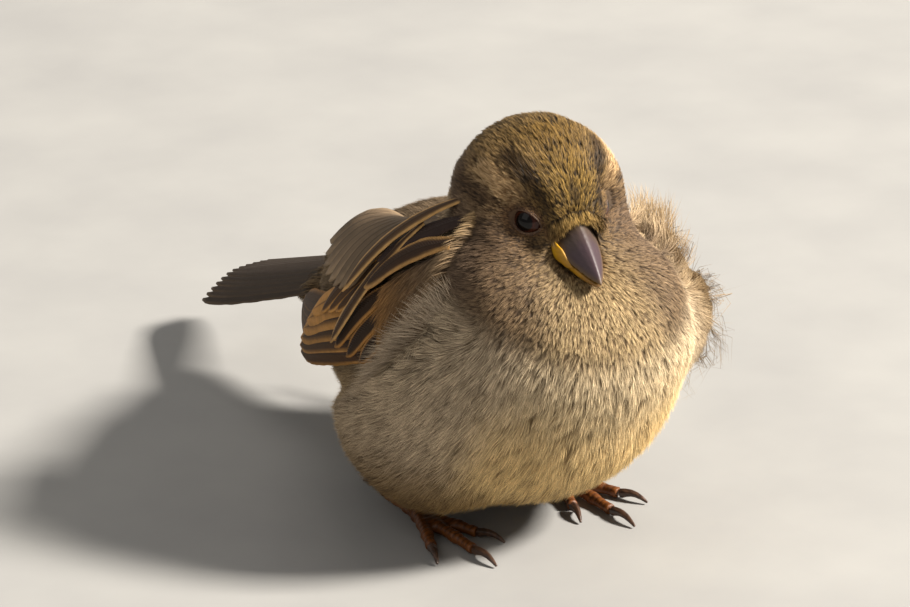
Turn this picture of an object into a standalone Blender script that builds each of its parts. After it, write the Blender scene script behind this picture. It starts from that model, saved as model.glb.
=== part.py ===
"""House sparrow, a fluffed young bird crouching on its feet, as a still life-size model.

Blender 4.5, metres, +Z up. The bird faces -Y, its left side is +X and it stands on z = 0.
The solids reach out to the tips of the plumage. The sizes named below are in millimetres.
"""

import math

import bmesh
import bpy
from mathutils import Matrix, Vector

MM = 0.001
GAP = 0.3  # between two solids that meet

# Head, round HEAD_CENTRE, in its own frame: x to the bird's left, y to the nape, z up
HEAD_CENTRE = (-0.3, -8.3, 46.8)
HEAD_TURN = -7.5  # degrees about z, towards the bird's right
HEAD_NOD = 11.0  # degrees, bill down
EYE_RADIUS = 2.4
EYE_CENTRE = (4.6, -6.2, 2.6)
EYE_AXIS = (0.80, -0.55, 0.24)  # the left eye's gaze
ORBIT_RADIUS, ORBIT_OUT = 3.2, 4.6  # the ball that hollows the plumage round an eye
HEAD_MASSES = {
    "skull": ((0, 1.0, 0.2), (12.4, 12.4, 12.6)),
    "brow": ((0, -4.8, 2.6), (7.6, 6.5, 7.0)),
    "chin": ((0, -5.8, -5.0), (7.2, 7.0, 5.8)),
}
CHEEK = ((6.0, -0.5, -4.2), (7.0, 9.4, 8.6))

# Bill, in the head's frame
BILL_ROOT_Y = -9.2
GAPE_Y = -10.2
TOMIUM_ROOT_Z = 0.8
BILL_TIP = (-18.6, -1.3)  # y, z
CULMEN_ROOT_Z = 3.9
BILL_HALF_WIDTH = 3.05
BILL_RIDGE = 0.62  # below 1, how sharply the upper bill's sides meet along its ridge
LOWER_DEPTH = 2.6
LOWER_SHORTER = 0.8

# Trunk, neck and rump
TRUNK_MASSES = {
    "belly": ((-1.0, -4.0, 25.0), (23.3, 23.5, 21.5)),
    "breast": ((0, -10.5, 29.6), (20.0, 20.0, 16.0)),
    "throat": ((-0.5, -10.0, 35.5), (15.0, 12.5, 10.5)),
    "back": ((0, 9.0, 29.8), (18.0, 19.5, 10.9)),
    "shoulder_right": ((-9.6, -10.5, 38.0), (8.8, 9.0, 8.8)),
    "shoulder_left": ((14.0, -9.5, 30.0), (8.6, 9.0, 7.5)),
    "rump": ((0, 19.5, 25.0), (15.0, 17.5, 10.0)),
    "vent": ((0, 14.0, 18.0), (16.5, 21.0, 12.0)),
    "uppertail_coverts": ((0, 33.0, 22.5), (6.5, 11.0, 5.0)),
    "undertail_coverts": ((0, 33.0, 18.0), (6.5, 12.0, 5.5)),
    "undertail_middle": ((0, 39.5, 16.8), (6.0, 10.0, 4.8)),
    "undertail_end": ((0, 47.0, 15.2), (5.0, 9.5, 3.4)),
    "flank_right": ((-13.2, 0.0, 16.5), (11.6, 17.0, 14.0)),
    "flank_left": ((17.7, -4.0, 27.8), (10.6, 15.0, 12.2)),
    "thigh_left": ((8.6, 0.5, 16.0), (12.1, 15.0, 13.0)),
}
VOXEL = 1.2
BELLY_FLOOR = 3.0  # how far the belly plumage stays above the ground
SMOOTHING = 18
KEPT_FACES = 0.052  # share of the blended body's faces that is kept
HEAD_PLANE = ((0, -8.0, 38.5), (0, -0.33, 0.94))  # a point and the way up the neck
NECK_PLANE = ((0, -8.0, 33.5), (0, -0.30, 0.95))

# Right wing: a shell round the body's long axis. The left wing mirrors it and hangs lower
WING_AXIS = ((-1.0, -10.0, 34.0), (-2.2, 37.0, 17.0))  # from the wrist to the tip
WING_RADII = (14.8, 21.9, 18.6, 7.2)  # distance from the axis, as a cubic curve's four values
WING_DROP = {"right": 0.0, "left": 29.0}  # degrees round the axis
WING_RISE = (18.0, -7.0)  # degrees above level of the wing's middle, at the wrist and at the tip
WING_HALVES = (4.0, 15.0, 9.2, 3.6)  # half its height, again as a cubic curve
# name: feathers, first u, last u, lowest v, highest v, inner face, thickness, notch, slant
WING_FANS = {
    "primaries": (6, 0.42, 1.12, -1.0, 0.5, 0.0, 0.6, 0.03, 0.16),
    "secondaries": (7, 0.36, 0.76, -1.0, 0.95, 1.2, 0.6, 0.03, 0.06),
    "coverts": (8, 0.03, 0.48, -1.0, 1.0, 2.4, 0.7, 0.025, 0.0),
}
WING_BED = (4, 0.03, 1.12, -1.0, 1.0, 0.3, 16.0, 0.0)  # what the wing takes out of the body

FEATHER_LAP = 0.45  # how far one edge of a feather lies above the other, as a share of its thickness

# Tail
TAIL_ROOT = (0.0, 31.0, 25.0)
TAIL_TIP = (0.0, 73.5, 8.0)
TAIL_ROLL = 15.0  # degrees, left edge up
TAIL_ROOT_HALF = 6.0
TAIL_TIP_HALF = 8.0
TAIL_THICK = 1.2
TAIL_FEATHERS = 10
TAIL_NOTCH = 0.03
TAIL_DROOP = 1.2  # how much lower the tail's edges are than its middle

# Legs and feet
FOOT_X = 11.4
FEET_MIDDLE = (-2.3, 1.1)
FOOT_SPLAY = {"right": 0.0, "left": 4.0}  # degrees outwards
TOE_RADIUS = 1.05
SOLE_CUT = 0.25  # height of the slice that flattens a toe's sole
TOES = {"inner": (24.0, 9.5), "middle": (2.0, 13.0), "outer": (-23.0, 10.0), "hind": (178.0, 8.5)}
CLAW_RADIUS, CLAW_TIP_RADIUS = 0.55, 0.2
CLAW_HOOK, CLAW_TIP_Z = 0.5, 0.35
CLAWS = {"inner": 4.2, "middle": 5.0, "outer": 4.2, "hind": 6.2}
TOE_STEPS = 9
TOE_TAPER = 0.18
TOE_PADS, TOE_PAD = 3, 0.12  # how many joints swell along a toe, and by what share
TOE_ARCH = 0.25
FOOT_BALL = 1.3
FOOT_BLEND = (0.3, 2, 0.085)  # voxel, smoothing, share of faces kept
SHANK_RADIUS = 1.1
SHANK_WAIST = 0.15  # how much slimmer the shank is half way up
SHANK_RISE = (1.0, 9.0, 12.0)  # inwards, back and up from the foot

COLOURS = {
    "plumage": (0.36, 0.27, 0.17),
    "crown": (0.30, 0.22, 0.12),
    "wing": (0.22, 0.15, 0.09),
    "tail": (0.17, 0.13, 0.10),
    "bill": (0.20, 0.15, 0.16),
    "bill_yellow": (0.62, 0.42, 0.06),
    "eye": (0.02, 0.012, 0.01),
    "leg": (0.42, 0.17, 0.06),
    "claw": (0.12, 0.07, 0.05),
}
ROUGHNESS = {"eye": 0.1, "bill": 0.35, "bill_yellow": 0.4, "leg": 0.5, "claw": 0.4}


# ---------------------------------------------------------------- small tools


def clear_scene():
    for old in list(bpy.data.objects):
        bpy.data.objects.remove(old)


def finish(name):
    """The material of that finish, made once."""
    found = bpy.data.materials.get(name)
    if found:
        return found
    made = bpy.data.materials.new(name)
    made.use_nodes = True
    shader = made.node_tree.nodes["Principled BSDF"]
    shader.inputs["Base Color"].default_value = (*COLOURS[name], 1.0)
    shader.inputs["Roughness"].default_value = ROUGHNESS.get(name, 0.85)
    return made


def mesh_of(bm, name):
    mesh = bpy.data.meshes.new(name)
    bm.to_mesh(mesh)
    bm.free()
    return mesh


def node(name, mesh, colour):
    """One named solid of the bird."""
    made = bpy.data.objects.new(name, mesh)
    bpy.context.scene.collection.objects.link(made)
    mesh.materials.clear()
    mesh.materials.append(finish(colour))
    mesh.shade_smooth()
    mesh.set_sharp_from_angle(angle=math.radians(50))
    return made


def helper(name, mesh):
    """A cutter, which is no part of the bird."""
    made = bpy.data.objects.new(name, mesh)
    bpy.context.scene.collection.objects.link(made)
    made.hide_render = True
    made.display_type = "WIRE"
    return made


def evaluated(obj):
    bpy.context.view_layer.update()
    graph = bpy.context.evaluated_depsgraph_get()
    return bpy.data.meshes.new_from_object(obj.evaluated_get(graph))


def cut(obj, cutter):
    modifier = obj.modifiers.new(cutter.name, "BOOLEAN")
    modifier.operation = "DIFFERENCE"
    modifier.object = cutter
    modifier.solver = "EXACT"


def add_ellipsoid(bm, centre, radii, place, subdivisions=4):
    shape = Matrix.LocRotScale(Vector(centre) * MM, None, Vector(radii) * MM)
    bmesh.ops.create_icosphere(bm, subdivisions=subdivisions, radius=1, matrix=place @ shape)


def add_loft(bm, rings):
    """Skins a row of closed rings of points, in millimetres, and caps both ends."""
    rows = [[bm.verts.new(Vector(p) * MM) for p in ring] for ring in rings]
    sides = len(rows[0])
    for row, following in zip(rows, rows[1:]):
        for i in range(sides):
            j = (i + 1) % sides
            bm.faces.new((row[i], row[j], following[j], following[i]))
    bm.faces.new(rows[0][::-1])
    bm.faces.new(rows[-1])
    bmesh.ops.recalc_face_normals(bm, faces=bm.faces)


def halve(mesh, point, normal, keep_above):
    """Keeps what is above the plane, or below it, and closes the cut."""
    bm = bmesh.new()
    bm.from_mesh(mesh)
    bmesh.ops.bisect_plane(
        bm,
        geom=bm.verts[:] + bm.edges[:] + bm.faces[:],
        dist=1e-7,
        plane_co=Vector(point) * MM,
        plane_no=Vector(normal),
        clear_inner=keep_above,
        clear_outer=not keep_above,
    )
    rim = [edge for edge in bm.edges if edge.is_boundary]
    bmesh.ops.holes_fill(bm, edges=rim, sides=0)
    bmesh.ops.triangulate(bm, faces=[face for face in bm.faces if len(face.verts) > 4])
    return mesh_of(bm, mesh.name)


def moved(plane, distance):
    """The plane moved along its normal, in millimetres."""
    point, normal = Vector(plane[0]), Vector(plane[1]).normalized()
    return point + normal * distance, normal


def head_frame():
    turn = Matrix.Rotation(math.radians(HEAD_TURN), 4, "Z")
    nod = Matrix.Rotation(math.radians(HEAD_NOD), 4, "X")
    return Matrix.Translation(Vector(HEAD_CENTRE) * MM) @ turn @ nod


# ---------------------------------------------------------------- body


def blended(bm, name, voxel, smoothing, kept):
    """One closed skin round overlapping masses, smoothed and with fewer faces."""
    masses = helper(name, mesh_of(bm, name))
    remesh = masses.modifiers.new("blend", "REMESH")
    remesh.mode = "VOXEL"
    remesh.voxel_size = voxel * MM
    smooth = masses.modifiers.new("smooth", "SMOOTH")
    smooth.factor = 0.5
    smooth.iterations = smoothing
    fewer = masses.modifiers.new("fewer", "DECIMATE")
    fewer.ratio = kept
    skin = evaluated(masses)
    bpy.data.objects.remove(masses)
    return skin


def blended_body():
    """Head, neck and trunk as one smooth skin at the plumage's tips."""
    bm = bmesh.new()
    for centre, radii in TRUNK_MASSES.values():
        add_ellipsoid(bm, centre, radii, Matrix.Identity(4))
    for centre, radii in HEAD_MASSES.values():
        add_ellipsoid(bm, centre, radii, head_frame())
    for sign in (1, -1):
        add_ellipsoid(bm, (sign * CHEEK[0][0], *CHEEK[0][1:]), CHEEK[1], head_frame())
    return blended(bm, "masses", VOXEL, SMOOTHING, KEPT_FACES)


def build_flesh():
    body = blended_body()
    head = halve(body, *moved(HEAD_PLANE, GAP / 2), keep_above=True)
    below = halve(body, *moved(HEAD_PLANE, -GAP / 2), keep_above=False)
    neck = halve(below, *moved(NECK_PLANE, GAP / 2), keep_above=True)
    trunk = halve(body, *moved(NECK_PLANE, -GAP / 2), keep_above=False)
    trunk = halve(trunk, (0, 0, BELLY_FLOOR), (0, 0, 1), keep_above=True)
    return (
        node("head", head, "crown"),
        node("neck", neck, "plumage"),
        node("trunk", trunk, "plumage"),
    )


# ---------------------------------------------------------------- eyes and bill


def eyeball(centre, radius):
    bm = bmesh.new()
    add_ellipsoid(bm, centre, (radius,) * 3, head_frame(), 3)
    return mesh_of(bm, "ball")


def build_eyes(head):
    """Each eye in its socket, with a wider hollow in the plumage before it."""
    for side, sign in (("left", 1), ("right", -1)):
        mirror = Vector((sign, 1, 1))
        centre = Vector(EYE_CENTRE) * mirror
        before = centre + Vector(EYE_AXIS).normalized() * mirror * ORBIT_OUT
        node("eye_" + side, eyeball(centre, EYE_RADIUS), "eye")
        cut(head, helper("socket_" + side, eyeball(centre, EYE_RADIUS + GAP)))
        cut(head, helper("orbit_" + side, eyeball(before, ORBIT_RADIUS)))


def bill_share(y):
    """0 at the gape, 1 at the tip, below 0 inside the head."""
    return (GAPE_Y - y) / (GAPE_Y - BILL_TIP[0])


def bill_ring(y, upper, grow):
    """One cross-section of a mandible: flat along the tomium, arched along the ridge."""
    share = bill_share(y)
    along = max(0.0, min(1.0, share))
    tip_z = BILL_TIP[1]
    tomium = TOMIUM_ROOT_Z + (tip_z - TOMIUM_ROOT_Z) * along**0.8
    width = BILL_HALF_WIDTH * (1 - along**1.6) ** 0.9
    if upper:
        half = width + 0.12
        height = (CULMEN_ROOT_Z - TOMIUM_ROOT_Z) * (1 - along**1.5) ** 0.8 + 0.12
        base, sense = tomium - grow, 1
    else:
        half = 0.9 * width + 0.1
        height = LOWER_DEPTH * (1 - along**1.3) ** 0.8 + 0.1
        base, sense = tomium - GAP + grow, -1
    points = []
    for step in range(9):
        angle = math.pi * step / 8
        across = math.cos(angle)
        rise = math.sin(angle)
        if upper:
            across = math.copysign((1 - rise) ** BILL_RIDGE, across)
        else:
            rise **= 0.85
        points.append(((half + grow) * across, y, base + sense * (height + 2 * grow) * rise))
    return points


def mandible(upper, grow):
    tip_y = BILL_TIP[0] - grow + (0 if upper else LOWER_SHORTER)
    root_y = BILL_ROOT_Y + grow
    rings = []
    for step in range(10):
        share = step / 9
        rings.append(bill_ring(root_y + (tip_y - root_y) * share, upper, grow))
    bm = bmesh.new()
    add_loft(bm, rings)
    bmesh.ops.transform(bm, matrix=head_frame(), verts=bm.verts[:])
    return bm


def build_bill(head):
    for name, upper, colour in (("bill_upper", True, "bill"), ("bill_lower", False, "bill_yellow")):
        node(name, mesh_of(mandible(upper, 0), name), colour)
        cutter = helper(name + "_bed", mesh_of(mandible(upper, GAP), name))
        cut(head, cutter)


# ---------------------------------------------------------------- wings and tail


def cubic(values, share):
    """A smooth run through the first and last value, led by the two between."""
    rest = 1 - share
    a, b, c, d = values
    return a * rest**3 + 3 * b * rest**2 * share + 3 * c * rest * share**2 + d * share**3


def wing_point(u, v, height):
    """A point of the wing: u from wrist to tip, v from lower edge to upper edge, height outwards."""
    centre = Vector(WING_AXIS[0]).lerp(Vector(WING_AXIS[1]), u)
    radius = cubic(WING_RADII, u)
    rise = math.radians(WING_RISE[0] + (WING_RISE[1] - WING_RISE[0]) * u)
    angle = rise + v * cubic(WING_HALVES, u) / radius
    return centre + Vector((-math.cos(angle), 0, math.sin(angle))) * (radius + height)


def tail_point(u, v, height):
    """A point of the tail, u from root to tip and v from its right edge to its left one."""
    root, tip = Vector(TAIL_ROOT), Vector(TAIL_TIP)
    along = (tip - root).normalized()
    side = Matrix.Rotation(-math.radians(TAIL_ROLL), 3, along) @ Vector((1, 0, 0))
    up = side.cross(along)
    half = TAIL_ROOT_HALF + (TAIL_TIP_HALF - TAIL_ROOT_HALF) * u
    droop = TAIL_DROOP * v * v
    return root + (tip - root) * u + side * (half * v) + up * (height - droop)


def fan(point_at, count, first, last, low, high, inner, thick, notch, slant=0.0, grow=0.0, steps=3):
    """A closed fan of overlapping feathers: each laps the next and ends in a round tip.

    Slant shortens the upper feathers. Grow makes the fan bigger all round and smooth, as a cutter.
    """
    lap = 0.0 if grow else FEATHER_LAP * thick
    columns = []
    for feather in range(count):
        for f in (0.06, 0.5, 0.94):  # near one edge, on the shaft and near the other edge
            across = (feather + f) / count
            v = low + (high - low) * across
            end = last - slant * across - notch * abs(2 * f - 1) ** 3
            columns.append((v * (1 + grow * 0.1), end + grow * 0.02, lap * f))
    bm = bmesh.new()
    faces = {}
    for layer, base in (("inner", inner - grow), ("outer", inner + thick + grow)):
        rows = []
        for v, end, rise in columns:
            row = []
            for step in range(steps + 1):
                u = first - grow * 0.02 + (end - first) * step / steps
                height = base + (rise if layer == "outer" else 0)
                row.append(bm.verts.new(point_at(u, v, height) * MM))
            rows.append(row)
        faces[layer] = rows
        for row, following in zip(rows, rows[1:]):
            for i in range(steps):
                bm.faces.new((row[i], row[i + 1], following[i + 1], following[i]))
    inside, outside = faces["inner"], faces["outer"]
    for k in range(len(columns) - 1):
        for i in (0, steps):
            bm.faces.new((inside[k][i], inside[k + 1][i], outside[k + 1][i], outside[k][i]))
    for k in (0, len(columns) - 1):
        for i in range(steps):
            bm.faces.new((inside[k][i], inside[k][i + 1], outside[k][i + 1], outside[k][i]))
    bmesh.ops.recalc_face_normals(bm, faces=bm.faces)
    return bm


def build_wings(flesh):
    for side, sign in (("right", 1), ("left", -1)):
        for name, row in WING_FANS.items():
            bm = fan(wing_point, *row)
            place(bm, side, sign)
            node(f"wing_{side}_{name}", mesh_of(bm, name), "wing")
        bed = fan(wing_point, *WING_BED, grow=2 * GAP, steps=10)
        place(bed, side, sign)
        cutter = helper(f"wing_bed_{side}", mesh_of(bed, "bed"))
        for part in flesh:
            cut(part, cutter)


def place(bm, side, sign):
    """Drops a right wing's shape round its axis, and mirrors it if it is for the left side."""
    start, end = (Vector(point) * MM for point in WING_AXIS)
    drop = Matrix.Rotation(-math.radians(WING_DROP[side]), 4, end - start)
    about = Matrix.Translation(start) @ drop @ Matrix.Translation(-start)
    bmesh.ops.transform(bm, matrix=about, verts=bm.verts[:])
    if sign < 0:
        bmesh.ops.transform(bm, matrix=Matrix.Scale(-1, 4, (1, 0, 0)), verts=bm.verts[:])
        bmesh.ops.recalc_face_normals(bm, faces=bm.faces)


def build_tail(trunk):
    row = (TAIL_FEATHERS, 0.0, 1.0, -1.0, 1.0, 0.0, TAIL_THICK, TAIL_NOTCH)
    node("tail", mesh_of(fan(tail_point, *row), "tail"), "tail")
    bed = fan(tail_point, 3, 0.0, 0.6, -1.0, 1.0, 0.0, TAIL_THICK + 0.5, 0.0, grow=2 * GAP)
    cut(trunk, helper("tail_bed", mesh_of(bed, "tail_bed")))


# ---------------------------------------------------------------- legs


def tube_rings(path, radii, sides=10):
    """Round cross-sections square to a path of points, all in millimetres."""
    rings = []
    for i, here in enumerate(path):
        before, after = path[max(0, i - 1)], path[min(len(path) - 1, i + 1)]
        along = (after - before).normalized()
        across = along.cross(Vector((0, 0, 1)))
        if across.length < 0.1:
            across = along.cross(Vector((0, 1, 0)))
        across.normalize()
        over = across.cross(along)
        ring = []
        for k in range(sides):
            angle = 2 * math.pi * (k + 0.5) / sides
            ring.append(here + (across * math.cos(angle) + over * math.sin(angle)) * radii[i])
        rings.append(ring)
    return rings


def tube(name, path, radii, sides=10):
    bm = bmesh.new()
    add_loft(bm, tube_rings(path, radii, sides))
    return mesh_of(bm, name)


def toe_way(side, sign, angle):
    """The level direction of a toe: 0 is straight ahead, positive towards the body's middle."""
    turn = math.radians(angle - FOOT_SPLAY[side]) * sign
    return Vector((-math.sin(turn), -math.cos(turn), 0))


def build_foot(side, sign, trunk):
    ball = Vector((FEET_MIDDLE[0] + sign * FOOT_X, FEET_MIDDLE[1], TOE_RADIUS - SOLE_CUT))
    blank = bmesh.new()
    add_ellipsoid(blank, ball, (FOOT_BALL,) * 3, Matrix.Identity(4), 2)
    for toe, (angle, length) in TOES.items():
        way = toe_way(side, sign, angle)
        path, radii = [], []
        for step in range(TOE_STEPS + 1):
            share = step / TOE_STEPS
            pad = TOE_PAD * math.cos(share * TOE_PADS * 2 * math.pi)
            arch = Vector((0, 0, TOE_ARCH * math.sin(math.pi * share)))
            path.append(ball + way * (length * share) + arch)
            radii.append(TOE_RADIUS * (1.0 - TOE_TAPER * share + pad))
        add_loft(blank, tube_rings(path, radii, 8))
        build_claw(f"claw_{side}_{toe}", path[-1] + way * GAP, way, CLAWS[toe])
    foot = halve(blended(blank, "toes", *FOOT_BLEND), (0, 0, 0), (0, 0, 1), keep_above=True)
    foot_node = node(f"foot_{side}", foot, "leg")
    top = ball + Vector((-sign * SHANK_RISE[0], SHANK_RISE[1], SHANK_RISE[2]))
    start = ball + Vector((0, 0.6, 0.9))
    along = (top - start).normalized()
    for grow, name in ((0, f"shank_{side}"), (GAP, f"shank_bed_{side}")):
        path = [start + (top - start) * (i / 6) for i in range(7)]
        path[-1] += along * grow
        waist = [1 + SHANK_WAIST * (1 - math.sin(math.pi * i / 6)) for i in range(7)]
        radii = [SHANK_RADIUS * slim + grow for slim in waist]
        mesh = tube(name, path, radii)
        if grow:
            cutter = helper(name, mesh)
            cut(trunk, cutter)
            cut(foot_node, cutter)
        else:
            node(name, mesh, "leg")


def build_claw(name, root, way, length):
    """A hooked claw that rises from the toe and comes down to just above the floor."""
    path, radii = [], []
    for step in range(6):
        share = step / 5
        height = root.z - (root.z - CLAW_TIP_Z) * share**2 + CLAW_HOOK * math.sin(math.pi * share)
        path.append(Vector((root.x, root.y, height)) + way * (length * share))
        radii.append(CLAW_RADIUS * (1 - share) ** 0.8 + CLAW_TIP_RADIUS)
    node(name, tube(name, path, radii, 6), "claw")


# ---------------------------------------------------------------- the bird


def stand_on_origin():
    """Moves the whole bird so that the middle of its box, at floor level, is the origin."""
    bpy.context.view_layer.update()
    graph = bpy.context.evaluated_depsgraph_get()
    low, high = Vector((1e9,) * 3), Vector((-1e9,) * 3)
    shown = [obj for obj in bpy.data.objects if not obj.hide_render]
    for obj in shown:
        for vertex in obj.evaluated_get(graph).data.vertices:
            low = Vector(map(min, low, vertex.co))
            high = Vector(map(max, high, vertex.co))
    middle = (low + high) / 2
    for obj in bpy.data.objects:
        obj.location = (-middle.x, -middle.y, -low.z)


def main():
    clear_scene()
    head, neck, trunk = build_flesh()
    build_eyes(head)
    build_bill(head)
    build_wings((head, neck, trunk))
    build_tail(trunk)
    for side, sign in (("left", 1), ("right", -1)):
        build_foot(side, sign, trunk)
    stand_on_origin()


main()
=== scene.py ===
import math
from functools import partial

import bpy
import numpy as np
from mathutils import Matrix, Vector
from mathutils.bvhtree import BVHTree
from numpy.linalg import norm
from numpy.random import default_rng as seeded


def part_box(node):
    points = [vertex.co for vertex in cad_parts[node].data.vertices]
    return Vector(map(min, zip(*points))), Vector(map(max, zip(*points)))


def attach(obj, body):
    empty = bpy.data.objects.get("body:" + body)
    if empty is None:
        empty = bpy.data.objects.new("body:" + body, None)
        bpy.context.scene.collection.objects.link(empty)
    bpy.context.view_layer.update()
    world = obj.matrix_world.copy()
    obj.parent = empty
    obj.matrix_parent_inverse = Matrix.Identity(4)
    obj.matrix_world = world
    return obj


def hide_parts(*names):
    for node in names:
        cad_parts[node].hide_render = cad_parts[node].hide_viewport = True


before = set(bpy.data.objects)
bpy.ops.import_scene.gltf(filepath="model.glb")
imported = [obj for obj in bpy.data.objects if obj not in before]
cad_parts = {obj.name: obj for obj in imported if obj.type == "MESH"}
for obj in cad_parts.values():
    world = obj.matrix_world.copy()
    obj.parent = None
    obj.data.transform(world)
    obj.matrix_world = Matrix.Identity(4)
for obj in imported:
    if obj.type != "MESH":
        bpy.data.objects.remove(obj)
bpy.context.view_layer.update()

# ---- Camera: off the bird's right front, looking down on it from arm's length through a long lens.
# The bird stands a little right of the picture's middle.
MM = 0.001
SIDES = ("right", "left")
HEAD_TURN, HEAD_NOD = -7.5, 11  # degrees from straight ahead and from level
VIEW_TURN, VIEW_DROP, VIEW_REACH = -34, 25, 0.7  # degrees round the bird and down on it, and metres off
VIEW_AIM = (-7.2, 27.4, 0)  # what the camera looks at, across and up its own picture from the stance, in mm


def turning(axis, degrees):
    return Matrix.Rotation(math.radians(degrees), 3, axis)


eye_middle = {side: sum(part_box(f"eye_{side}"), Vector()) / 2 for side in SIDES}
head_turn = turning("Z", HEAD_TURN) @ turning("X", HEAD_NOD)
head_middle = (eye_middle["right"] + eye_middle["left"]) / 2 + head_turn @ Vector((0, 6.2, -2.6)) * MM
STANCE = head_middle + Vector((0.3, 8.3, -46.8)) * MM  # the floor under the body, just behind the toes
eye_middle["left"] += head_turn @ Vector((-0.3, 0.1, 0)) * MM  # half hidden in the fluffed face
camera = bpy.data.objects.new("camera", bpy.data.cameras.new("camera"))
bpy.context.collection.objects.link(camera)
view = turning("Z", VIEW_TURN) @ turning("X", 90 - VIEW_DROP)
camera.location = STANCE + view @ Vector((0, 0, VIEW_REACH))
aim = STANCE + view @ Vector(VIEW_AIM) * MM
camera.rotation_euler = (aim - camera.location).to_track_quat("-Z", "Y").to_euler()
camera.data.lens = 199.4
camera.data.sensor_width = 36
camera.data.clip_start = 0.01
bpy.context.scene.camera = camera


# ---- Light: one big warm lamp low on the bird's left, faint ones on its right and behind it, and a pale
# room round them.
LAMPS_AIM = 30 * MM  # how high over the floor the lamps point


def lamp(name, turn, height, reach, size, power, colour):
    """A square lamp that faces the bird, turned round it from the front and raised, in degrees."""
    light = bpy.data.lights.new(name, "AREA")
    light.size = size
    light.energy = power
    light.color = colour
    obj = bpy.data.objects.new(name, light)
    bpy.context.collection.objects.link(obj)
    way = turning("Z", turn) @ turning("X", 90 - height) @ Vector((0, 0, 1))
    obj.location = STANCE + Vector((0, 0, LAMPS_AIM)) + way * reach
    obj.rotation_euler = (-way).to_track_quat("-Z", "Y").to_euler()


lamp("key_lamp", 53, 38, 2.4, 0.40, 176.0, (1.0, 0.93, 0.83))
lamp("fill_lamp", -80, 40, 1.4, 1.2, 3.2, (1.0, 0.96, 0.90))
lamp("back_lamp", 150, 50, 1.4, 0.6, 3.0, (1.0, 0.94, 0.86))
room = bpy.data.worlds.new("room")
room.use_nodes = True
walls = room.node_tree.nodes["Background"].inputs
walls["Color"].default_value = (1.0, 0.96, 0.90, 1)
walls["Strength"].default_value = 0.26
bpy.context.scene.world = room
bpy.context.scene.view_settings.view_transform = "Standard"


# ---- Floor: a wide pale board, painted matt, with only the faintest mottling in the paint.
# It is the stage, and no part of the bird.
class Shade:
    """An output of a material's nodes. Arithmetic on it adds the Math nodes that work it out."""

    def __init__(self, tree, output=None):
        self.tree = tree
        self.output = output

    def node(self, kind, settings=None, inputs=None, output=0):
        """A shader node of a kind, with its settings made first and then its sockets set or linked."""
        made = self.tree.nodes.new("ShaderNode" + kind)
        for name, value in (settings or {}).items():
            setattr(made, name, value)
        for name, value in (inputs or {}).items():
            if isinstance(value, Shade):
                self.tree.links.new(value.output, made.inputs[name])
            else:
                made.inputs[name].default_value = value
        return Shade(self.tree, made.outputs[output])

    def colour(self, name):
        """A colour that the mesh holds for each of its points."""
        return self.node("Attribute", {"attribute_name": name})

    def number(self, name):
        """A number that the mesh holds for each of its points."""
        return self.node("Attribute", {"attribute_name": name}, None, 2)

    def texture(self, kind, scale, **inputs):
        """A texture laid through the piece, in its own coordinates: its main output."""
        place = self.node("TexCoord", None, None, 3)
        return self.node("Tex" + kind, None, {"Vector": place, "Scale": scale, **inputs})

    def grain(self, across, along):
        """Noise that is drawn out from front to back."""
        place = self.node("TexCoord", None, None, 3)
        drawn = self.node("Mapping", None, {0: place, 3: (across, along, across)})
        return self.node("TexNoise", None, {"Vector": drawn, "Scale": 1.0, "Detail": 3.0})

    def ramp(self, *stops):
        """Colours along this value, each given as the value and the colour."""
        made = self.node("ValToRGB", None, {0: self})
        elements = made.output.node.color_ramp.elements
        while len(elements) < len(stops):
            elements.new(0.5)
        for element, (value, colour) in zip(elements, stops):
            element.position = value
            element.color = (*colour, 1)
        return made

    def step(self, low, high, kind="SMOOTHSTEP"):
        return self.node("MapRange", {"interpolation_type": kind}, {0: self, 1: low, 2: high})

    def math(self, operation, first, second=0.0):
        return self.node("Math", {"operation": operation}, {0: first, 1: second})

    def between(self, first, second):
        """The first colour where this is 0 and the second where it is 1."""
        values = {0: self}
        for name, colour in ((6, first), (7, second)):
            values[name] = (*colour, 1) if isinstance(colour, tuple) else colour
        return self.node("Mix", {"data_type": "RGBA"}, values, 2)

    def scaled(self, factor):
        return self.node("VectorMath", {"operation": "SCALE"}, {0: self, 3: factor})

    def clamped(self):
        return self.node("Clamp", None, {0: self})

    def __add__(self, other):
        return self.math("ADD", self, other)

    def __sub__(self, other):
        return self.math("SUBTRACT", self, other)

    def __rsub__(self, other):
        return self.math("SUBTRACT", other, self)

    def __mul__(self, other):
        return self.math("MULTIPLY", self, other)

    __radd__ = __add__
    __rmul__ = __mul__


def rgb(red, green, blue):
    """A colour as it looks, from 0 to 255, as the light that it gives back."""
    return tuple(((v / 255 + 0.055) / 1.055) ** 2.4 for v in (red, green, blue))


def finish_of(name, roughness, specular=0.5):
    """A new material, with its shader and a Shade to build its nodes from."""
    material = bpy.data.materials.new(name)
    material.use_nodes = True
    shader = material.node_tree.nodes["Principled BSDF"]
    shader.inputs["Roughness"].default_value = roughness
    shader.inputs["Specular IOR Level"].default_value = specular
    return material, shader, Shade(material.node_tree)


def connect(shade, shader, socket="Base Color"):
    shade.tree.links.new(shade.output, shader.inputs[socket])


def relief(height, shader, strength, depth=0.1):
    """Fine relief in a finish, as deep as depth in mm."""
    inputs = {"Strength": strength, "Distance": depth * MM, "Height": height}
    connect(height.node("Bump", None, inputs), shader, "Normal")


def dress(obj, material, slot, *nodes):
    """Gives a piece its only material and ties it to the body, in place of the solids it stands for."""
    obj.data.materials.clear()
    obj.data.materials.append(material)
    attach(obj, "root")
    if nodes:
        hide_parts(*nodes)


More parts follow.
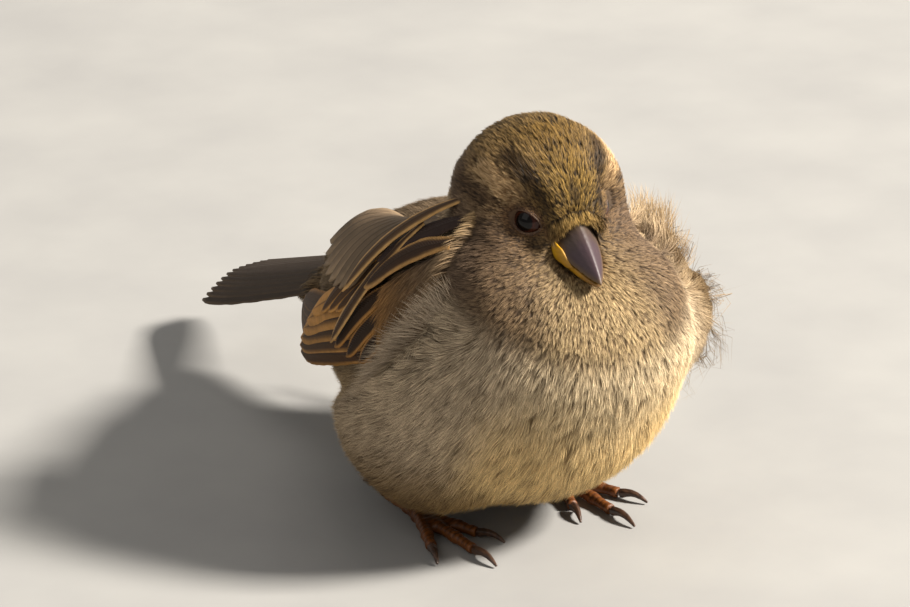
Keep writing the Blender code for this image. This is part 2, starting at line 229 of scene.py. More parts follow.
bpy.ops.mesh.primitive_plane_add(size=6)
floor = bpy.context.object
floor.name = "floor"
board, shader, start = finish_of("floor_paint", 0.8)
mottle = start.texture("Noise", 40.0, Detail=4.0)
connect(mottle.ramp((0.3, rgb(150, 150, 150)), (0.7, rgb(159, 159, 158))), shader)
floor.data.materials.append(board)


# ---- Skin: one sheet over head, neck and trunk, with no seam. It lies under the feathers by their depth,
# which is least round the bill and the eyes. It is the dusky down at the feathers' roots.
SWELL = 0.35 * MM  # closes the thin cuts between the solids
SKIN_GRAIN = 0.75 * MM
EYE_ROUND = 5.5 * MM  # how far from an eye's middle the skin's mesh is made finer


def select_only(*objs):
    bpy.ops.object.select_all(action="DESELECT")
    for obj in objs:
        obj.select_set(True)
    bpy.context.view_layer.objects.active = objs[0]


def closed(obj, weld=0.0):
    """Merges a piece's points that lie within weld of each other, and turns its faces outward."""
    select_only(obj)
    bpy.ops.object.mode_set(mode="EDIT")
    bpy.ops.mesh.select_all(action="SELECT")
    if weld:
        bpy.ops.mesh.remove_doubles(threshold=weld)
    bpy.ops.mesh.normals_make_consistent(inside=False)
    bpy.ops.object.mode_set(mode="OBJECT")


def copy_of(name, *nodes):
    """One closed mesh from copies of the solids, whose loose triangles are merged."""
    copies = []
    for node in nodes:
        copy = bpy.data.objects.new(name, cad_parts[node].data.copy())
        bpy.context.collection.objects.link(copy)
        copies.append(copy)
    select_only(*copies)
    if len(copies) > 1:
        bpy.ops.object.join()
    closed(copies[0], weld=0.001 * MM)
    return copies[0]


def shape(obj, kind, **settings):
    """Applies one modifier to a piece."""
    select_only(obj)
    modifier = obj.modifiers.new(kind.lower(), kind)
    for name, value in settings.items():
        setattr(modifier, name, value)
    bpy.ops.object.modifier_apply(modifier=modifier.name)


def remeshed(obj, grain, rounds):
    """Rebuilds a piece as one even mesh and evens out its steps."""
    shape(obj, "REMESH", mode="VOXEL", voxel_size=grain)
    shape(obj, "SMOOTH", factor=0.5, iterations=rounds)


def corners(obj, what="co"):
    """The places or the normals of a piece's points, a row for each."""
    values = np.empty(len(obj.data.vertices) * 3)
    obj.data.vertices.foreach_get(what, values)
    return values.reshape(-1, 3)


def moved(obj, places):
    """Moves each point of a piece to its row's place."""
    obj.data.vertices.foreach_set("co", places.ravel())


def unit(vectors):
    return vectors / np.maximum(norm(vectors, axis=-1, keepdims=True), 1e-9)


def smooth(low, high, values):
    """0 below low and 1 above high, with a soft step between."""
    share = np.clip((values - low) / (high - low), 0, 1)
    return share * share * (3 - 2 * share)


HEAD_ROWS = np.array(head_turn)
MIDDLE_X = STANCE.x / MM


def in_head(points):
    """Points in millimetres in the head's own frame: x to its left, y to its back, z up."""
    return (points - np.array(head_middle)) @ HEAD_ROWS / MM


def from_head(points):
    return np.asarray(points, float) * MM @ HEAD_ROWS.T + np.array(head_middle)


def in_body(points):
    """Points in millimetres from the middle line of the body."""
    return points / MM - np.array((MIDDLE_X, 0, 0))


def fold(points):
    """Both sides of the body laid onto its left one."""
    return np.abs(points) * (1, 0, 0) + points * (0, 1, 1)


def near(points, start, end, reach):
    """1 on the line from start to end, falling to 0 at reach from it. Both sides of the body alike."""
    folded = fold(points)
    first, last = np.array(start, float), np.array(end, float)
    along = np.clip((folded - first) @ (last - first) / max((last - first) @ (last - first), 1e-9), 0, 1)
    gap = norm(folded - first - along[:, None] * (last - first), axis=1)
    return 1 - smooth(reach * 0.35, reach, gap)


def band(points, places, reaches):
    """near() along a chain of places, with a reach for each stretch of it."""
    stretches = zip(places, places[1:], reaches)
    return np.clip(sum(near(points, start, end, reach) for start, end, reach in stretches), 0, 1)


EYE_AXIS = {"right": (-0.80, -0.55, 0.24), "left": (0.97, -0.14, 0.20)}  # in the head's frame
LID_RADIUS, LID_LONG, LID_HIGH = 2.52, 2.25, 1.45  # the lids' ball and the opening's half sizes, in mm
LID_TILT = math.radians(17)  # how far the opening's front corner dips


def gaze(side):
    """A turn that sends the Z axis along an eye's gaze, with Y up its face."""
    way = head_turn @ Vector(EYE_AXIS[side]).normalized()
    return way.to_track_quat("Z", "Y").to_matrix()


def in_eye(points, side):
    """Points in millimetres round the middle of an eye, with z along its gaze and y up its face."""
    return (points - np.array(eye_middle[side])) @ np.array(gaze(side)) / MM


def opened(spots, side):
    """Below 1 in the almond between the lids, 1 on their edge and above it outside."""
    forward = spots[:, 0] * (1 if side == "right" else -1)
    long = forward * math.cos(LID_TILT) - spots[:, 1] * math.sin(LID_TILT)
    high = forward * math.sin(LID_TILT) + spots[:, 1] * math.cos(LID_TILT)
    almond = (long / LID_LONG) ** 2 + np.abs(high / LID_HIGH) ** 1.6
    return almond**0.55 + (spots[:, 2] < 0) * 9


# The coat from place to place. Head places are in the head's frame, body ones from the middle line, in mm.
# place: where, feather length, barb width, feathers to the square mm, coat's depth, light tint, dark tint
HEAD_COAT = {
    "forehead": ((0, -8.8, 7.6), 1.7, 0.075, 10.6, 0.37, (168, 134, 66), (40, 28, 14)),
    "bill_base": ((2.5, -10.5, 4.5), 1.1, 0.058, 16.6, 0.24, (164, 134, 76), (38, 28, 16)),
    "crown": ((0, -3.0, 11.8), 2.2, 0.081, 8.2, 0.51, (146, 114, 56), (38, 27, 14)),
    "crown_side": ((6.5, -3.0, 9.5), 2.3, 0.081, 8.2, 0.54, (144, 116, 70), (38, 28, 17)),
    "crown_back": ((0, 5.0, 11.0), 2.6, 0.087, 7.1, 0.61, (134, 110, 72), (46, 36, 24)),
    "nape": ((0, 11.5, 3.0), 3.3, 0.098, 6.0, 0.75, (140, 120, 90), (56, 44, 32)),
    "brow": ((8.8, -4.0, 6.9), 2.1, 0.075, 8.9, 0.51, (196, 164, 120), (92, 68, 42)),
    # Painted shade: the lore's tints are the feathers' own colours darkened further, for the shade over the
    # face's right side.
    "lore": ((5.2, -9.9, 2.5), 1.1, 0.058, 16.6, 0.24, (122, 94, 64), (38, 27, 18)),
    "eye_rim": ((7.0, -7.8, 3.2), 1.1, 0.052, 19.0, 0.20, (112, 86, 60), (40, 28, 19)),
    "cheek": ((10.8, -5.0, 0.0), 2.3, 0.075, 8.9, 0.54, (112, 93, 76), (58, 45, 35)),
    "ear": ((12.2, 2.0, 1.0), 2.6, 0.081, 7.8, 0.65, (124, 103, 84), (63, 50, 39)),
    "neck_side": ((13.0, 1.5, -4.0), 3.4, 0.087, 6.5, 0.82, (206, 180, 144), (118, 96, 72)),
    # Painted shade: the malar tints are the feathers' own colours darkened further, for the shade over the
    # face's right side.
    "malar": ((7.0, -10.5, -2.0), 1.6, 0.064, 11.9, 0.37, (142, 118, 90), (68, 52, 38)),
    "chin": ((2.0, -11.5, -4.0), 1.6, 0.070, 11.2, 0.37, (212, 186, 140), (108, 86, 59)),
}
BODY_COAT = {
    "throat": ((0, -46.0, 40.5), 2.4, 0.069, 6.8, 0.68, (212, 190, 152), (121, 101, 78)),
    "breast": ((6, -49.0, 34.0), 3.0, 0.078, 4.8, 0.92, (237, 220, 191), (116, 101, 83)),
    "breast_side": ((17, -42.0, 35.0), 3.5, 0.078, 4.6, 1.02, (220, 201, 172), (126, 108, 86)),
    "lower_breast": ((6, -50.0, 28.0), 3.7, 0.083, 4.1, 1.09, (239, 216, 172), (128, 108, 79)),
    # Painted light: the belly's light tint is brightened in part as painted sunlight, over its own pale buff;
    # the low belly below it is darkened as painted shade.
    "belly": ((8, -47.0, 20.0), 4.8, 0.078, 3.7, 1.29, (240, 208, 144), (166, 137, 93)),
    "shaded_belly_low": ((6, -32.0, 4.5), 5.0, 0.078, 3.4, 1.22, (170, 140, 88), (98, 74, 44)),
    "flank_front": ((22, -36.0, 28.0), 5.2, 0.069, 4.1, 1.29, (214, 193, 163), (101, 87, 68)),
    "flank": ((24, -24.0, 22.0), 6.0, 0.064, 3.9, 1.36, (210, 189, 159), (102, 85, 66)),
    # Painted shade: the lower flank's tints are darkened for the shade that lies low on the body's side.
    "shaded_flank_low": ((18, -26.0, 8.0), 5.6, 0.069, 3.6, 1.29, (136, 109, 70), (74, 56, 36)),
    "wing_edge": ((22, -33.0, 35.0), 4.8, 0.059, 4.4, 1.09, (216, 195, 163), (102, 88, 72)),
    "rear_flank": ((20, -8.0, 14.0), 5.8, 0.073, 3.4, 1.22, (178, 151, 111), (87, 72, 51)),
    "vent": ((6, 2.0, 8.0), 5.4, 0.078, 3.4, 1.16, (196, 172, 130), (142, 119, 85)),
    "undertail": ((3, 13.0, 12.0), 5.4, 0.083, 3.4, 0.82, (190, 160, 112), (134, 108, 73)),
    "mantle": ((6, -16.0, 44.0), 4.3, 0.093, 4.1, 0.88, (132, 112, 86), (79, 63, 47)),
    "back": ((7, -6.0, 39.0), 4.8, 0.098, 3.9, 0.88, (122, 104, 82), (79, 64, 50)),
    "rump": ((5, 6.0, 31.0), 5.0, 0.093, 3.7, 0.88, (122, 104, 80), (79, 64, 48)),
    "tail_coverts": ((3, 14.0, 26.0), 5.4, 0.098, 3.4, 0.68, (108, 91, 70), (71, 57, 43)),
    "tail_side": ((9, 8.0, 22.0), 5.0, 0.083, 3.4, 0.82, (148, 124, 88), (102, 82, 57)),
}
# Marks over the head's coat: how strong, along which places, the reach of each stretch, two tints
FACE_MARKS = {
    "brow": (0.95, ((7.0, -7.4, 6.0), (9.4, -1.0, 7.6)), (2.4,), (214, 182, 136), (122, 92, 60)),
    "brow_edge": (
        0.92, ((3.9, -9.4, 5.2), (5.3, -6.0, 8.6), (6.6, -2.4, 10.0)), (1.6, 2.0), (74, 55, 32), (22, 16, 10)),
    "eye_line": (
        0.85, ((8.4, -6.6, 4.7), (10.6, -2.4, 5.2), (11.3, 2.5, 5.0)), (1.6, 2.2), (92, 70, 50), (34, 24, 17)),
    "before_eye": (0.80, ((4.4, -10.2, 3.4), (6.0, -9.6, 2.9)), (1.6,), (90, 68, 44), (26, 18, 12)),
}
LATER_MARKS = {
    "forehead_line": (0.75, ((0, -10.0, 5.6), (0, -8.0, 8.4)), (0.7,), (66, 50, 30), (20, 15, 9)),
    "neck_ruff": (
        0.85, ((11.9, 4.2, 0), (13.2, 2.6, -3.5), (13.0, -2.4, -5.0)), (3.1, 2.8), (206, 182, 146),
        (134, 110, 82)),
}
LEFT_SUNLIT_GOLD = ((22.0, -35, 40), (27, -26, 22), 15.0)  # painted sunlight: the golden tint of the left shoulder and flank, on that side alone: from, to and reach
EYE_RIM_COAT = (0.7, 0.05, 26.0, 0.14)  # the feathers beside the right eye, as in the tables


def blended(points, table, reach):
    """The table's values at points. Over about reach, one place's coat passes into the next."""
    places = np.array([row[0] for row in table.values()], float)
    values = np.array([row[1:5] + rgb(*row[5]) + rgb(*row[6]) for row in table.values()])
    folded = fold(points)
    gaps = norm(folded[:, None] - places[None], axis=2)
    nearest = gaps.min(axis=1, keepdims=True)
    shares = np.exp((nearest**2 - gaps**2) / (2 * reach**2))
    return shares @ values / shares.sum(axis=1, keepdims=True)


def on_head(points):
    """1 on the head and 0 on the body, with a soft change at the neck."""
    return smooth(-2.0, 2.0, (in_body(points) - (0, -31.5, 39.5)) @ np.array((0, -0.33, 0.94)))


def ripple(points, scale, seed):
    """A smooth random wave over points in mm, from -1 to 1, with that distance between its crests."""
    draw = seeded(seed)
    ways = unit(draw.normal(size=(7, 3))) * (2 * math.pi / scale) * draw.uniform(0.7, 1.4, (7, 1))
    starts = draw.uniform(0, 2 * math.pi, 7)
    return np.sin(points @ ways.T + starts).sum(axis=1) / 3.2


def coat_at(points):
    """Length, barb width, density, depth, light and dark tint of the plumage at points, with its marks."""
    head, body = in_head(points), in_body(points)
    share = on_head(points)[:, None]
    values = share * blended(head, HEAD_COAT, 2.6) + (1 - share) * blended(body, BODY_COAT, 5.5)
    skull = share[:, 0]

    def tint(amount, light, dark):
        tints = np.array(rgb(*light) + rgb(*dark))
        values[:, 4:] += amount[:, None] * (tints - values[:, 4:])

    for amount, places, reaches, light, dark in FACE_MARKS.values():
        tint(amount * band(head, places, reaches) * skull, light, dark)
    # Painted sunlight: the coat on the bird's left side alone takes a golden tint, for the warm sun that falls
    # on it there; the bird's own colours are alike on both sides.
    sunlit_left = body * (body[:, :1] > 0)
    tint(0.85 * ((1 - skull) * near(sunlit_left, *LEFT_SUNLIT_GOLD)), (140, 114, 74), (100, 75, 43))
    rim = opened(in_eye(points, "right"), "right")
    tint(0.8 * (1 - smooth(1.15, 1.6, rim)) * skull, (146, 112, 78), (74, 52, 36))
    tiny = (0.9 * skull * (1 - smooth(1.3, 2.2, rim)))[:, None]
    values[:, :4] += tiny * (np.array(EYE_RIM_COAT) - values[:, :4])
    for amount, places, reaches, light, dark in LATER_MARKS.values():
        tint(amount * band(head, places, reaches) * skull, light, dark)
    return values


skin = copy_of("skin", "head", "neck", "trunk", "eye_right", "eye_left")
shape(skin, "DISPLACE", strength=SWELL, mid_level=0)
remeshed(skin, SKIN_GRAIN, 9)
outside = corners(skin)
depths = coat_at(outside)[:, 3] * MM + SWELL
sunk = outside - corners(skin, "normal") * depths[:, None]
moved(skin, sunk)
shape(skin, "SMOOTH", factor=0.5, iterations=4)
reaches = [[(v.co - middle).length for middle in eye_middle.values()] for v in skin.data.vertices]
beside_eye = [min(reach) < EYE_ROUND for reach in reaches]
for polygon in skin.data.polygons:
    polygon.select = all(beside_eye[v] for v in polygon.vertices)
bpy.ops.object.mode_set(mode="EDIT")
bpy.ops.mesh.subdivide(number_cuts=4)
bpy.ops.object.mode_set(mode="OBJECT")
held = corners(skin)
for side in SIDES:
    # The skin beside an eye is drawn onto the lids' ball, and sinks behind the opening between them.
    spots = in_eye(held, side)
    reach = np.maximum(norm(spots, axis=1), 1e-9)
    polar = np.degrees(np.arccos(np.clip(spots[:, 2] / reach, -1, 1)))
    lid = (1 - smooth(62, 82, polar)) * (1 - smooth(4.8, 6.2, reach))
    opening = 1 - smooth(0.85, 1.02, opened(spots * (LID_RADIUS / reach)[:, None], side))
    spots = spots * (1 + lid * ((LID_RADIUS - 0.7 * opening) / reach - 1))[:, None]
    drawn = spots @ np.array(gaze(side)).T * MM + np.array(eye_middle[side])
    held = np.where((lid > 0)[:, None], drawn, held)
moved(skin, held)
bpy.ops.object.shade_smooth()


def tinted(obj, name, colours):
    """Stores a colour for each point under a name."""
    layer = obj.data.attributes.new(name, "FLOAT_COLOR", "POINT")
    layer.data.foreach_set("color", np.hstack([colours, np.ones((len(colours), 1))]).ravel())


skin_coat = coat_at(corners(skin))
tinted(skin, "light", skin_coat[:, 4:7])
tinted(skin, "dark", skin_coat[:, 7:10])
down, shader, start = finish_of("down", 0.85)
fluff = start.texture("Noise", 2600.0, Detail=3.0)
connect((fluff * 0.5).between(start.colour("dark"), start.colour("light")).scaled(0.75), shader)
relief(fluff, shader, 0.6, 0.3)
dress(skin, down, "plumage", "head", "neck", "trunk")

# ---- Body feathers: thousands of small ones, each a fan of fine barbs rooted in the skin. They lie away
# from the bill and towards the tail, lapping like tiles, and are smallest round the bill and the eyes.
BILL_ROOT = from_head((0, -12.0, 2.0))
VENT = np.array((MIDDLE_X, 16, 14)) * MM
tree = BVHTree.FromPolygons(corners(skin).tolist(), [tuple(p.vertices) for p in skin.data.polygons])


def onto_skin(points):
    """The nearest places on the skin, and the way out of it there."""
    found = [tree.find_nearest(point) for point in points.tolist()]
    return np.array([f[0][:] for f in found]), np.array([f[1][:] for f in found])


def lie_of(points, ups):
    """The way the feathers lie: from the bill over head and body to the vent and the tail."""
    away = points - BILL_ROOT
    reach = norm(away, axis=1, keepdims=True) / MM
    pull = unit(VENT - points) * smooth(14, 45, reach)
    way = unit(away) + 1.1 * pull
    body = in_body(points)
    edge = near(body, (19, -34, 37), (22, -14, 23), 8.0)[:, None]
    way = way + edge * (0, 0.5, 0.75)
    swirl = 0.12 * ripple(points / MM, 6.0, 3) + 0.07 * ripple(points / MM, 2.2, 4)
    way = unit(way - ups * (way * ups).sum(axis=1, keepdims=True))
    return unit(way + np.cross(ups, way) * swirl[:, None])


def scatter(count, seed):
    """Places all over the skin, evenly thick, and the way out of it there."""
    skin.data.calc_loop_triangles()
    triangles = np.empty(len(skin.data.loop_triangles) * 3, int)
    skin.data.loop_triangles.foreach_get("vertices", triangles)
    triangles = triangles.reshape(-1, 3)
    places, normals = corners(skin), corners(skin, "normal")
    a, b, c = (places[triangles[:, k]] for k in range(3))
    areas = norm(np.cross(b - a, c - a), axis=1) / 2
    draw = seeded(seed)
    chosen = triangles[draw.choice(len(areas), count, p=areas / areas.sum())]
    shares = draw.dirichlet((1, 1, 1), count)[:, :, None]
    return (places[chosen] * shares).sum(axis=1), unit((normals[chosen] * shares).sum(axis=1)), areas.sum()


def mesh_from(name, points, triangles):
    """A new object from arrays of points and of triangles."""
    mesh = bpy.data.meshes.new(name)
    mesh.vertices.add(len(points))
    mesh.loops.add(len(triangles) * 3)
    mesh.polygons.add(len(triangles))
    mesh.vertices.foreach_set("co", points.ravel())
    mesh.loops.foreach_set("vertex_index", triangles.ravel())
    mesh.polygons.foreach_set("loop_start", np.arange(0, len(triangles) * 3, 3))
    mesh.update(calc_edges=True)
    mesh.shade_smooth()
    obj = bpy.data.objects.new(name, mesh)
    bpy.context.collection.objects.link(obj)
    return obj


def noted(obj, name, values):
    """Stores a number for each point under a name."""
    obj.data.attributes.new(name, "FLOAT", "POINT").data.foreach_set("value", values.ravel())


def mapped(obj, places):
    """The map that a bake uses, from each point's place on it."""
    layer = obj.data.uv_layers.new(name="OFBake")
    index = np.empty(len(obj.data.loops), int)
    obj.data.loops.foreach_get("vertex_index", index)
    layer.data.foreach_set("uv", places[index].ravel())


def unwrapped(points, middle, front):
    """Places in the unit square for points round a middle: the farther from the front, the farther out."""
    ways = unit(points - middle)
    ahead = unit(np.array(front, float))
    side = unit(np.cross((0, 0, 1.0) if abs(ahead[2]) < 0.9 else (0, 1.0, 0), ahead))
    rise = np.cross(ahead, side)
    away = np.sqrt(2 / np.maximum(1 + ways @ ahead, 0.05))
    flat = np.stack([ways @ side, ways @ rise], axis=1) * away[:, None]
    low, high = flat.min(axis=0), flat.max(axis=0)
    return 0.01 + 0.975 * (flat - low) / (high - low)


TUFT_PATCH = 0.003  # how wide a feather's patch is on the map
SITES = 420000  # places that the feathers are drawn from, for an even coat


def splayed(draw, count, barbs, joints):
    """How each barb of each fan leans, from -1 to 1, and how far along its feather each joint lies."""
    spread = np.linspace(-1, 1, barbs)[None] + draw.uniform(-0.25, 0.25, (count, barbs))
    ends = 1 - 0.22 * spread**2 - draw.uniform(0, 0.18, (count, barbs))
    return spread, ends[:, :, None] * np.linspace(0.0, 1, joints + 1)


def blades(name, draw, coat, spread, shares, middles, side, up, roots, front):
    """One mesh of barbs along middles: each a thin blade that narrows to a point at its last joint."""
    count, barbs, joints = shares.shape[0], shares.shape[1], shares.shape[2] - 1
    roll = draw.uniform(-0.6, 0.6, (count, barbs, 1, 1))
    side = side * np.cos(roll) + up * np.sin(roll)
    thick = 1 - 0.5 * np.linspace(0, 1, joints + 1) ** 2
    thick = coat[:, 1][:, None, None] * MM / 2 * thick * draw.uniform(0.7, 1.3, (count, barbs, 1))
    thick[..., 0] *= 0.6
    left = middles - side * thick[..., None]
    right = middles + side * thick[..., None]
    corner = np.concatenate([np.stack([left, right], axis=3)[:, :, :-1].reshape(count, barbs, -1, 3),
                             middles[:, :, -1:]], axis=2)
    each = 2 * joints + 1
    faces = []
    for k in range(joints - 1):
        faces += [(2 * k, 2 * k + 1, 2 * k + 3), (2 * k, 2 * k + 3, 2 * k + 2)]
    faces.append((2 * joints - 2, 2 * joints - 1, 2 * joints))
    starts = np.arange(count * barbs) * each
    triangles = (starts[:, None, None] + np.array(faces)[None]).reshape(-1, 3)
    obj = mesh_from(name, corner.reshape(-1, 3), triangles)
    along = np.concatenate([np.repeat(shares[:, :, :-1], 2, axis=2), shares[:, :, -1:]], axis=2)
    noted(obj, "along", along)
    tone = draw.normal(0, 1, (count, 1, 1)) * 0.6 + draw.normal(0, 1, (count, barbs, 1)) * 0.8
    noted(obj, "tone", np.broadcast_to(tone, along.shape))
    for label, columns in (("light", slice(4, 7)), ("dark", slice(7, 10))):
        colours = np.broadcast_to(coat[:, None, None, columns], along.shape + (3,))
        tinted(obj, label, colours.reshape(-1, 3))
    spots = unwrapped(roots, roots.mean(axis=0) - np.array(front) * 6 * MM, front)
    inside = np.stack([np.broadcast_to(spread[..., None] * 0.5 + 0.5, along.shape), along], axis=3)
    mapped(obj, (spots[:, None, None] + inside * TUFT_PATCH).reshape(-1, 2))
    return obj


def fanned(name, draw, coat, line, outs, barbs, joints, fan, lengths, heights, front):
    """A fan of barbs along each line of four points, with the way out of the coat at each of them."""
    count = len(line)
    spread, shares = splayed(draw, count, barbs, joints)
    spot = np.clip(shares * 3, 0, 2.999)
    low = spot.astype(int)
    part = (spot - low)[..., None]
    row = np.arange(count)[:, None, None]
    middles = line[row, low] * (1 - part) + line[row, low + 1] * part
    up = unit(outs[row, low] * (1 - part) + outs[row, low + 1] * part)
    way = unit(line[row, low + 1] - line[row, low])
    side = np.cross(up, way)
    out = (spread * fan)[:, :, None] * shares**0.8 * lengths[:, None, None]
    lift = draw.uniform(-0.35, 0.35, (count, barbs, 1)) * heights[:, None, None] * shares
    middles = middles + side * out[..., None] + up * lift[..., None]
    return blades(name, draw, coat, spread, shares, middles, side, up, line[:, 0], front)


def lay(name, roots, ups, barbs, joints, fan, seed, front, stand=1.0, long=1.0):
    """Feathers at roots: each a fan of barbs, in that many joints, that rises to the coat's depth."""
    draw = seeded(seed)
    coat = coat_at(roots)
    count = len(roots)
    lengths = coat[:, 0] * MM * long * draw.uniform(0.75, 1.2, count)
    heights = coat[:, 3] * MM * draw.uniform(0.7, 1.1, count) * stand
    line, outs, place, up = [roots], [ups], roots, ups
    jog = draw.normal(0, 0.10, count)[:, None]
    for step in (1, 2, 3):
        way = lie_of(place, up)
        way = unit(way + np.cross(up, way) * jog)
        place, up = onto_skin(place + way * (lengths / 3)[:, None])
        line.append(place + up * (heights * (1 - (1 - step / 3) ** 1.7))[:, None])
        outs.append(up)
    line, outs = np.stack(line, axis=1), np.stack(outs, axis=1)
    return fanned(name, draw, coat, line, outs, barbs, joints, fan, lengths, heights, front)


feather, shader, start = finish_of("body_feather", 0.62, 0.2)
tone = start.number("tone")
share = (start.number("along").step(0.15, 0.85) + tone * 0.15).clamped()
connect(share.between(start.colour("dark"), start.colour("light")).scaled(1.0 + tone * 0.13), shader)

sites, site_ups, skin_area = scatter(SITES, 11)
head_sites, body_sites = in_head(sites), in_body(sites)
site_density = len(sites) / (skin_area / MM**2)
kept = seeded(12).uniform(size=len(sites)) < coat_at(sites)[:, 2] / site_density
for side in SIDES:  # none grow between the lids or on the bill's root
    spots = in_eye(sites, side)
    kept &= (opened(spots, side) > 1.06) | (norm(spots, axis=1) > 3.3)
across, forward, high = head_sites.T
kept &= ~((np.abs(across) < 2.7) & (forward < -9.9) & (np.abs(high - 1.0) < 2.3))
on_skull = on_head(sites) > 0.5
side = body_sites[:, 0]
front, rear = body_sites[:, 1] < -38, body_sites[:, 1] >= 0
flank = ~on_skull & ~front & ~rear & (abs(side) > 7)
middle = ~on_skull & ~front & ~rear & (abs(side) <= 7)
low = body_sites[:, 2] < 21
# piece: where, barbs in a feather, half spread of its fan, the way the piece faces
ZONES = {
    "crown_feathers": (on_skull & (head_sites[:, 2] > 3.0), 5, 0.12, (0, -0.3, 1)),
    "face_feathers": (on_skull & (head_sites[:, 2] <= 3.0), 5, 0.15, (0, -0.9, 0.1)),
    "breast_feathers": (~on_skull & front, 8, 0.20, (0, -1, 0.1)),
    "right_flank_feathers": (flank & (side < 0) & ~low, 8, 0.22, (-1, 0, 0)),
    "right_thigh_feathers": (flank & (side < 0) & low, 8, 0.22, (-1, 0, -0.4)),
    "left_flank_feathers": (flank & (side > 0) & ~low, 8, 0.22, (1, 0, 0)),
    "left_thigh_feathers": (flank & (side > 0) & low, 8, 0.22, (1, 0, -0.4)),
    "belly_feathers": (middle & (body_sites[:, 2] < 25), 8, 0.20, (0, 0, -1)),
    "back_feathers": (middle & (body_sites[:, 2] >= 25), 8, 0.20, (0, 0, 1)),
    "rump_feathers": (~on_skull & rear, 8, 0.20, (0, 1, 0.2)),
}
for number, (name, (inside, barbs, fan, front)) in enumerate(ZONES.items()):
    chosen = kept & inside
    piece = lay(name, sites[chosen], site_ups[chosen], barbs, 2, fan, 20 + number, front)
    dress(piece, feather, "plumage")

# ---- Eyes: glossy dark balls, sunk between two rings of bare lid. The iris is a brown so deep that it
# nearly joins the pupil.
EYE_RADIUS = 2.4 * MM
LID_RINGS = ((1.0, 0.13), (1.13, 0.11))  # each ring's size against the opening, and its half thickness
eye_gloss, shader, start = finish_of("eye", 0.04, 0.22)
from_middle = start.number("rim") + start.texture("Noise", 2400.0) * 0.06
iris = from_middle.ramp((0.50, rgb(7, 4, 3)), (0.60, rgb(60, 27, 17)), (0.95, rgb(30, 14, 9)))
connect(iris, shader)
lid_skin, shader, start = finish_of("eyelid", 0.55)
pimples = start.texture("Voronoi", 5200.0)
connect(pimples.ramp((0.1, rgb(124, 92, 62)), (0.6, rgb(66, 45, 32))), shader)
relief(1.0 - pimples, shader, 0.5)
for side in SIDES:
    turn = gaze(side).to_4x4()
    bpy.ops.mesh.primitive_uv_sphere_add(segments=48, ring_count=32, radius=EYE_RADIUS * 0.98)
    eye = bpy.context.object
    eye.name = f"eyeball_{side}"
    ball = corners(eye)
    ball[:, 2] += smooth(0.72, 1.0, ball[:, 2] / EYE_RADIUS) * 0.12 * MM
    noted(eye, "rim", np.hypot(ball[:, 0], ball[:, 1]) / EYE_RADIUS + (ball[:, 2] < 0))
    moved(eye, ball)
    eye.data.transform(Matrix.Translation(eye_middle[side]) @ turn)
    bpy.ops.object.shade_smooth()
    dress(eye, eye_gloss, "eye", f"eye_{side}")
    rings = []
    for wide, thick in LID_RINGS:
        bpy.ops.mesh.primitive_torus_add(
            major_segments=72, minor_segments=12, major_radius=MM, minor_radius=thick * MM)
        lid = bpy.context.object
        tube = corners(lid) / MM
        turned = np.arctan2(tube[:, 1], tube[:, 0])
        long = np.cos(turned) * LID_LONG * wide
        high = np.sign(np.sin(turned)) * np.abs(np.sin(turned)) ** 1.25 * LID_HIGH * wide
        forward = long * math.cos(LID_TILT) + high * math.sin(LID_TILT)
        rise = high * math.cos(LID_TILT) - long * math.sin(LID_TILT)
        front = np.sqrt(np.maximum(LID_RADIUS**2 - forward**2 - rise**2, 0))
        edge = np.stack([forward * (1 if side == "right" else -1), rise, front], axis=1)
        out = unit(edge)
        across = unit(edge * (1, 1, 0) - out * (edge * (1, 1, 0) * out).sum(axis=1, keepdims=True))
        edge += across * (np.hypot(tube[:, 0], tube[:, 1]) - 1)[:, None] + out * tube[:, 2:]
        edge += out * (0.03 * np.sin(turned * 23) + 0.02 * np.sin(turned * 41))[:, None]
        moved(lid, edge * MM)
        rings.append(lid)
    select_only(*rings)
    bpy.ops.object.join()
    lids = rings[0]
    lids.name = f"eyelids_{side}"
    closed(lids)
    lids.data.transform(Matrix.Translation(eye_middle[side]) @ turn)
    bpy.ops.object.shade_smooth()
    dress(lids, lid_skin, "plumage")

# ---- Bill: two horn sheaths that meet along the cutting edges. The upper is purple-grey and ridged, the
# lower yellow, and a young bird's soft yellow flange still swells at the corner of the gape.
BILL_GRAIN = 0.13 * MM
GAPE_Y, TIP_Y = -10.2, -18.6


def sheath(name, node, up):
    """A smooth copy of one half of the bill, which notes the way to its tip and to its cutting edge."""
    obj = copy_of(name, node)
    remeshed(obj, BILL_GRAIN, 8)
    horn = corners(obj)
    spots = in_head(horn)
    along = np.clip((GAPE_Y - spots[:, 1]) / (GAPE_Y - TIP_Y), 0, 1)
    noted(obj, "along", along)
    noted(obj, "edge", 1 - smooth(0.0, 0.8, (spots[:, 2] - 0.8 + 2.1 * along**0.8) * up))
    bpy.ops.object.shade_smooth()
    return obj


def horn(name, base, tip, edge, turns):
    """Horn that changes from its base's colour to its tip's over a span of its length."""
    material, shader, start = finish_of(name, 0.52)
    cloud = start.texture("Noise", 700.0, Detail=5.0)
    grain = start.grain(2600.0, 500.0)
    share = (start.number("along") + (cloud - 0.5) * 0.4).step(*turns)
    colour = (start.number("edge") * (cloud + 0.4)).clamped().between(share.between(base, tip), edge)
    connect(colour.scaled(0.75 + grain * 0.5), shader)
    relief(grain, shader, 0.3)
    shader.inputs["Coat Weight"].default_value = 0.02
    shader.inputs["Coat Roughness"].default_value = 0.25
    return material


